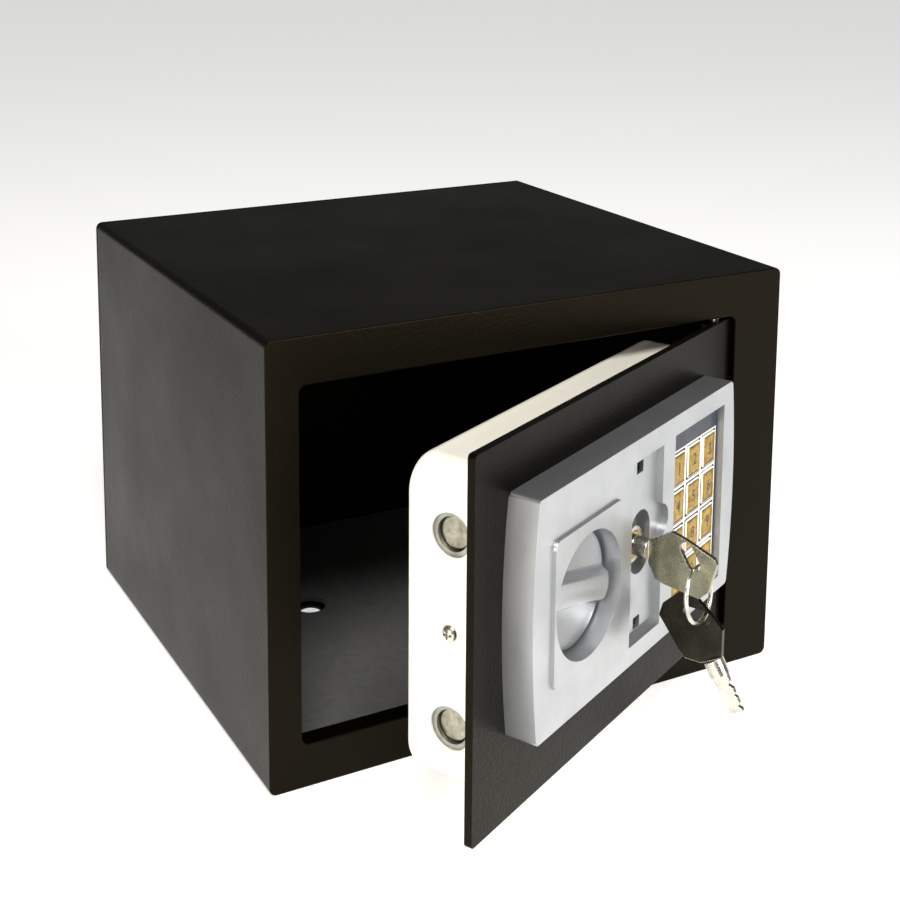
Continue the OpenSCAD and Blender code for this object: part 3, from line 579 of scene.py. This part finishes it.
def grown(name, points, tree, inputs):
    """Runs a Geometry Nodes tree on points and keeps the result as a plain mesh."""
    mesh = bpy.data.meshes.new(name)
    mesh.from_pydata(points, [], [])
    piece = bpy.data.objects.new(name, mesh)
    scene.collection.objects.link(piece)
    made = piece.modifiers.new("grow", "NODES")
    made.node_group = tree
    for item in tree.interface.items_tree:
        if item.item_type == "SOCKET" and item.in_out == "INPUT" and item.name in inputs:
            made[item.identifier] = inputs[item.name]
    return applied(piece)


middles = [(lo + hi) / 2 for lo, hi in key_boxes]
frames = grown("key_frames_printed", [(m.x, m.z, 0) for m in middles], frame_tree, {"Ink": white_print})
frames.data.transform(Matrix.Translation((0, film_low.y - 0.03 * MM, 0))
                      @ Matrix.Rotation(math.radians(90), 4, "X"))
open_up(frames)
finished(frames, "door", "keypad_film", None)

gold = surface("gold_lacquer", "#b8953f", "#7d6220", 2.5, (0.2, 0.34), 0.6, 0.01, metallic=0.85)
brown_ink = surface("brown_screen_print", "#4a3313", "#3a280e", 2, (0.4, 0.5), 0.4, 0.005)
rim = 0.4 * MM
edge_slack = 0.05 * MM
face_deep = 0.6 * MM


def cap_rings(lo, hi):
    """The outline of a cap at each height: straight sides, soft edge, groove and domed face."""
    corner = 0.35 * MM
    plan = [(hi.y, 0, corner), (lo.y + 0.5 * MM, 0, corner), (lo.y + 0.15 * MM, 0.12 * MM, corner),
            (lo.y + 0.05 * MM, 0.35 * MM, corner), (lo.y + 0.05 * MM, rim, corner),
            (lo.y + 0.3 * MM, rim + 0.15 * MM, corner), (lo.y + 0.1 * MM, rim + 0.45 * MM, corner),
            (lo.y - 0.1 * MM, rim + 1.2 * MM, corner), (lo.y - 0.2 * MM, rim + 2.4 * MM, corner)]
    return [[(x, y, z) for x, z in outline(lo, hi, r + rim, inset, 4)] for y, inset, r in plan]


for key, (lo, hi), middle in zip(keys, key_boxes, middles):
    cap = lofted(key + "_moulded", cap_rings(lo, hi))
    cap.data.materials.append(white_print)
    cap.data.materials.append(gold)
    cap.data.materials.append(brown_ink)
    for face in cap.data.polygons:
        inner = [abs(face.center[i] - middle[i]) < (hi[i] - lo[i]) / 2 - rim - edge_slack for i in (0, 2)]
        face.material_index = 1 if all(inner) and face.center.y < lo.y + face_deep else 0
    letter = bpy.data.curves.new(key + "_sign", "FONT")
    letter.body = signs.get(key, key.split("_")[1])
    letter.size = 6.5 * MM
    letter.align_x = "CENTER"
    letter.align_y = "CENTER"
    letter.extrude = 0.04 * MM
    letter.offset = 0.12 * MM
    letter.resolution_u = 3
    sign = bpy.data.objects.new(key + "_sign", letter)
    scene.collection.objects.link(sign)
    bpy.context.view_layer.update()
    sign_mesh = bpy.data.meshes.new_from_object(sign.evaluated_get(bpy.context.evaluated_depsgraph_get()))
    bpy.data.objects.remove(sign)
    sign_mesh.transform(Matrix.Translation((middle.x, lo.y - 0.00018, middle.z))
                        @ Matrix.Rotation(math.radians(90), 4, "X"))
    joined = bmesh.new()
    joined.from_mesh(cap.data)
    plain = len(joined.faces)
    joined.from_mesh(sign_mesh)
    joined.faces.ensure_lookup_table()
    for face in joined.faces[plain:]:
        face.material_index = 2
    joined.to_mesh(cap.data)
    joined.free()
    bpy.data.meshes.remove(sign_mesh)
    cap.data.shade_smooth()
    cap.data.set_sharp_from_angle(angle=math.radians(38))
    open_up(cap)
    finished(cap, key, "gold_keys", None, key)


# Circuit board, buzzer and wiring -------------------------------------------
# Out of sight behind the keypad: green solder mask, black mouldings, red insulated leads.

solder_mask = surface("green_solder_mask", "#2c6a3a", "#1f5530", 4, (0.25, 0.4), 0.6, 0.01)
black_abs = surface("black_abs", "#232323", "#191919", 8, (0.42, 0.55), 0.5, 0.02)
red_pvc = surface("red_pvc_insulation", "#7c1a16", "#651310", 5, (0.35, 0.45), 0.5, 0.01)
repaint(solder_mask, "keypad_board")
repaint(black_abs, "buzzer", "battery_box", "reset_switch", "wire_grommet")
repaint(red_pvc, "wire_loom")
copper = surface("varnished_copper_wire", "#9a4a22", "#6f3216", 1.5, (0.25, 0.4), 0.4, 0.05, metallic=0.6,
                 stretch=(0.05, 0.05, 1))
repaint(copper, "solenoid_coil")
repaint(nickel, "solenoid_plunger")
repaint(zinc, "plunger_spring")


# Cells ----------------------------------------------------------------------
# Four AA cells lying side by side, each in a printed jacket.

jacket = surface("printed_cell_jacket", "#c08a32", "#a87524", 10, (0.2, 0.3), 0.6, 0.005, metallic=0.5)
repaint(jacket, "batteries")


# Key lock -------------------------------------------------------------------
# Nickel plated die-cast barrel with a brass plug. The nut behind the plate holds it.

barrel = eased(whole_copy("lock_body", "lock_barrel_cast"), 0.3, 2, 40)
finished(barrel, "door", "nickel", nickel, "lock_body")
repaint(zinc, "lock_nut")
brass = surface("machined_brass", "#cdb06a", "#a98b49", 3, (0.25, 0.38), 0.4, 0.01, metallic=1.0)
plug = eased(whole_copy("lock_plug", "lock_plug_turned"), 0.15, 2, 40)
finished(plug, "plug", "brass", brass, "lock_plug")


# Keys and ring --------------------------------------------------------------
# Stamped brass blanks, nickel plated, with cuts milled in both edges of the blade.
# The bows carry painted light: the door key's bow is painted a darker olive as a painted reflection, and
# the spare key's bow is painted near black as painted shade. The ring is a loop of hard wire.

# Painted reflection: the door key's bow is painted a darker olive than the plating, standing in for dark
# surroundings reflected in it.
reflection_painted_nickel = surface("nickel_plate_painted_reflection", "#a5a28c", "#7f7c66", 9, (0.2, 0.34), 0.8, 0.006, metallic=1.0)
# Painted shade: the spare key's bow is the same nickel plating painted near black, a shaded copy of the
# door key's finish.
shade_painted_nickel = surface("nickel_plate_painted_shade", "#3a3830", "#26241e", 9, (0.24, 0.36), 0.8, 0.006,
                    metallic=1.0)
shank_length = 20.5 * MM
ring_points = [v.co for v in frame["nodes"]["key_ring"].data.vertices]
ring_mid = sum(ring_points, Vector()) / len(ring_points)
for node_name, bow_painted_light in (("door_key", reflection_painted_nickel), ("spare_key", shade_painted_nickel)):
    blank = eased(whole_copy(node_name, node_name + "_stamped"), 0.3, 3, 25)
    blank.data.materials.clear()
    for finish in (bow_painted_light, nickel):
        blank.data.materials.append(finish)
    points = [v.co for v in blank.data.vertices]
    tip = max(points, key=lambda p: (p - ring_mid).length)
    near = [p for p in points if 6 * MM < (p - tip).length < 12 * MM]
    shank = (sum(near, Vector()) / len(near) - tip).normalized()
    for face in blank.data.polygons:
        face.material_index = 1 if (face.center - tip).dot(shank) < shank_length else 0
    finished(blank, node_name, "nickel", None, node_name)
repaint(nickel, "key_ring")


# Studio ---------------------------------------------------------------------
# Plain pale floor that glows a little, with soft panels of light from the front, the left and above.

floor_size = 8.0
floor_skin = bmesh.new()
bmesh.ops.create_grid(floor_skin, x_segments=8, y_segments=8, size=floor_size)
floor_mesh = bpy.data.meshes.new("floor")
floor_skin.to_mesh(floor_mesh)
floor_skin.free()
floor = bpy.data.objects.new("floor", floor_mesh)
scene.collection.objects.link(floor)
floor.location.z = -0.0002
floor_paint = surface("pale_floor", "#f2f2f0", "#efefec", 400, (0.7, 0.8), 3, 0.01,
                      sockets={"Emission Color": hex_colour("#ffffff"), "Emission Strength": 0.55})
floor_mesh.materials.append(floor_paint)


def soft_light(name, place, target, width, power, colour):
    """A square panel of light that faces a target."""
    lamp = bpy.data.lights.new(name, "AREA")
    lamp.shape = "RECTANGLE"
    lamp.size, lamp.size_y = width
    lamp.energy = power
    lamp.color = hex_colour(colour)[:3]
    holder = bpy.data.objects.new(name, lamp)
    scene.collection.objects.link(holder)
    holder.location = place
    holder.rotation_mode = "QUATERNION"
    holder.rotation_quaternion = (Vector(target) - Vector(place)).to_track_quat("-Z", "Y")


aim = (0.0, -0.1, 0.09)
soft_light("front_light", (0.6, -1.6, 0.6), aim, (0.6, 0.6), 26, "#fffdf8")
soft_light("left_light", (-1.5, -0.9, 0.45), aim, (0.6, 0.8), 17, "#fff6e6")
soft_light("top_light", (-0.35, -0.75, 1.1), aim, (0.4, 0.4), 14, "#fffdf8")

# The room is white to look at but lights the steel only weakly, so the black coat stays deep.
world = bpy.data.worlds.new("studio")
scene.world = world
world.use_nodes = True
sky = world.node_tree
seen = add(sky, "ShaderNodeLightPath").outputs["Is Camera Ray"]
strength = add(sky, "ShaderNodeMapRange", {"To Min": 0.14, "To Max": 1.05},
               {"Value": seen}).outputs["Result"]
backdrop = sky.nodes["Background"]
backdrop.inputs["Color"].default_value = hex_colour("#fdfdfb")
sky.links.new(strength, backdrop.inputs["Strength"])
scene.view_settings.view_transform = "Standard"
